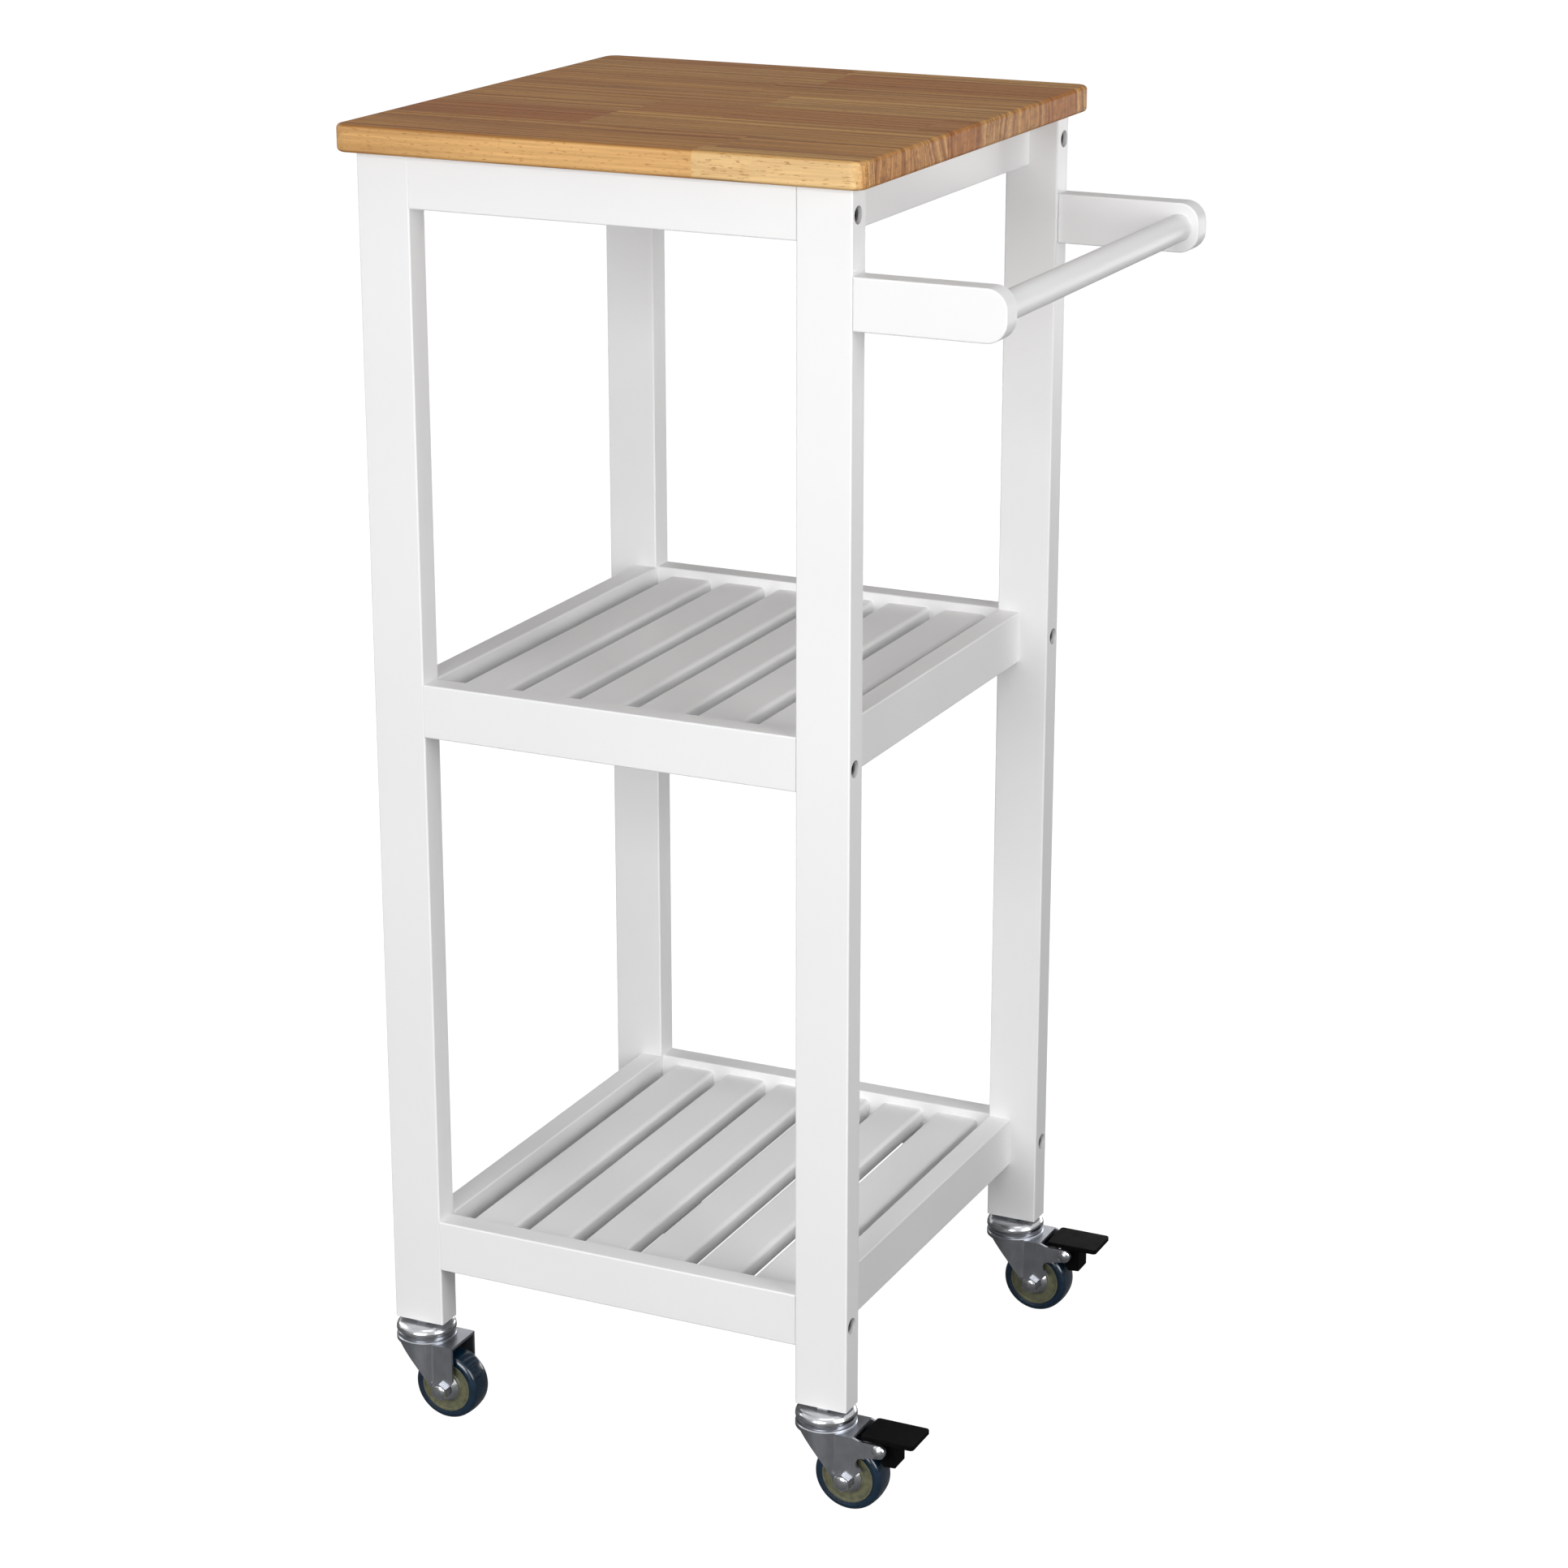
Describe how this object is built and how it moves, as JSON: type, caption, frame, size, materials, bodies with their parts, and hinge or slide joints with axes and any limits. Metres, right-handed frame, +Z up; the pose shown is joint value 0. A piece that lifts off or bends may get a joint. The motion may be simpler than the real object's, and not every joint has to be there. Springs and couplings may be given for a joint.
{
  "type": "butcher block kitchen cart",
  "caption": "Rolling kitchen cart with a square butcher block top, white frame, slatted shelves, side handle bar and swivel casters, some with foot brakes.",
  "frame": {"origin": "on the floor, in the middle of the overall footprint (worktop plus handle)", "axes": "+Z up, +X towards the handle side, -Y is the front, so Y runs along the shelf slats"},
  "size_m": [0.4634, 0.383, 0.914],
  "materials": {
    "butcher_block": "oiled satin, glued staves along X",
    "white_paint": "white satin lacquer on hardwood",
    "beech_dowel": "bare fluted beech",
    "bolt_steel": "dark zinc plated",
    "zinc_steel": "bright zinc plated",
    "ball_steel": "polished bearing steel",
    "caster_chrome": "bright plated",
    "axle_steel": "bright plated",
    "fork_steel": "plated pressed steel",
    "wheel_core": "olive moulded nylon",
    "tyre": "glossy dark blue polyurethane",
    "brake_plastic": "black moulded nylon"
  },
  "bodies": {
    "cart_frame": {"back_apron": "white_paint", "back_lower_rail": "white_paint", "back_middle_rail": "white_paint", "barrel_nuts": "zinc_steel", "bracket_screws": "zinc_steel", "butcher_block_top": "butcher_block", "caster_balls": "ball_steel", "caster_inserts": "zinc_steel", "caster_stem_back_left": "caster_chrome", "caster_stem_back_right": "caster_chrome", "caster_stem_front_left": "caster_chrome", "caster_stem_front_right": "caster_chrome", "frame_bolts": "bolt_steel", "frame_dowels": "beech_dowel", "front_apron": "white_paint", "front_lower_rail": "white_paint", "front_middle_rail": "white_paint", "handle_arm_back": "white_paint", "handle_arm_front": "white_paint", "handle_bar": "white_paint", "handle_bolts": "bolt_steel", "handle_inserts": "zinc_steel", "left_apron": "white_paint", "left_lower_rail": "white_paint", "left_middle_rail": "white_paint", "leg_back_left": "white_paint", "leg_back_right": "white_paint", "leg_front_left": "white_paint", "leg_front_right": "white_paint", "lower_shelf_slats": "white_paint", "middle_shelf_slats": "white_paint", "right_apron": "white_paint", "right_lower_rail": "white_paint", "right_middle_rail": "white_paint", "shelf_dowels": "beech_dowel", "top_brackets": "zinc_steel"},
    "swivel_front_left": {"caster_fork_front_left": "fork_steel", "caster_axle_front_left": "axle_steel"},
    "wheel_front_left": {"wheel_core_front_left": "wheel_core", "tyre_front_left": "tyre", "hub_caps_front_left": "caster_chrome"},
    "swivel_front_right": {"caster_fork_front_right": "fork_steel", "caster_axle_front_right": "axle_steel", "brake_rivet_front_right": "caster_chrome"},
    "wheel_front_right": {"wheel_core_front_right": "wheel_core", "tyre_front_right": "tyre", "hub_caps_front_right": "caster_chrome"},
    "brake_front_right": {"brake_pedal_front_right": "brake_plastic"},
    "swivel_back_left": {"caster_fork_back_left": "fork_steel", "caster_axle_back_left": "axle_steel"},
    "wheel_back_left": {"wheel_core_back_left": "wheel_core", "tyre_back_left": "tyre", "hub_caps_back_left": "caster_chrome"},
    "swivel_back_right": {"caster_fork_back_right": "fork_steel", "caster_axle_back_right": "axle_steel", "brake_rivet_back_right": "caster_chrome"},
    "wheel_back_right": {"wheel_core_back_right": "wheel_core", "tyre_back_right": "tyre", "hub_caps_back_right": "caster_chrome"},
    "brake_back_right": {"brake_pedal_back_right": "brake_plastic"}
  },
  "joints": [
    {"name": "caster_swivel_front_left", "type": "hinge", "parent": "cart_frame", "child": "swivel_front_left", "pos_m": [-0.20125, -0.17, 0.0605], "axis": [0, 0, 1], "continuous": true},
    {"name": "wheel_spin_front_left", "type": "hinge", "parent": "swivel_front_left", "child": "wheel_front_left", "pos_m": [-0.18125, -0.17, 0.025], "axis": [0, 1, 0], "continuous": true},
    {"name": "caster_swivel_front_right", "type": "hinge", "parent": "cart_frame", "child": "swivel_front_right", "pos_m": [0.11075, -0.17, 0.0605], "axis": [0, 0, 1], "continuous": true},
    {"name": "wheel_spin_front_right", "type": "hinge", "parent": "swivel_front_right", "child": "wheel_front_right", "pos_m": [0.13075, -0.17, 0.025], "axis": [0, 1, 0], "continuous": true},
    {"name": "brake_press_front_right", "type": "hinge", "parent": "swivel_front_right", "child": "brake_front_right", "pos_m": [0.15645, -0.17, 0.0525], "axis": [0, 1, 0], "range_deg": [0, 18]},
    {"name": "caster_swivel_back_left", "type": "hinge", "parent": "cart_frame", "child": "swivel_back_left", "pos_m": [-0.20125, 0.17, 0.0605], "axis": [0, 0, 1], "continuous": true},
    {"name": "wheel_spin_back_left", "type": "hinge", "parent": "swivel_back_left", "child": "wheel_back_left", "pos_m": [-0.18125, 0.17, 0.025], "axis": [0, 1, 0], "continuous": true},
    {"name": "caster_swivel_back_right", "type": "hinge", "parent": "cart_frame", "child": "swivel_back_right", "pos_m": [0.11075, 0.17, 0.0605], "axis": [0, 0, 1], "continuous": true},
    {"name": "wheel_spin_back_right", "type": "hinge", "parent": "swivel_back_right", "child": "wheel_back_right", "pos_m": [0.13075, 0.17, 0.025], "axis": [0, 1, 0], "continuous": true},
    {"name": "brake_press_back_right", "type": "hinge", "parent": "swivel_back_right", "child": "brake_back_right", "pos_m": [0.15645, 0.17, 0.0525], "axis": [0, 1, 0], "range_deg": [0, 18]}
  ]
}
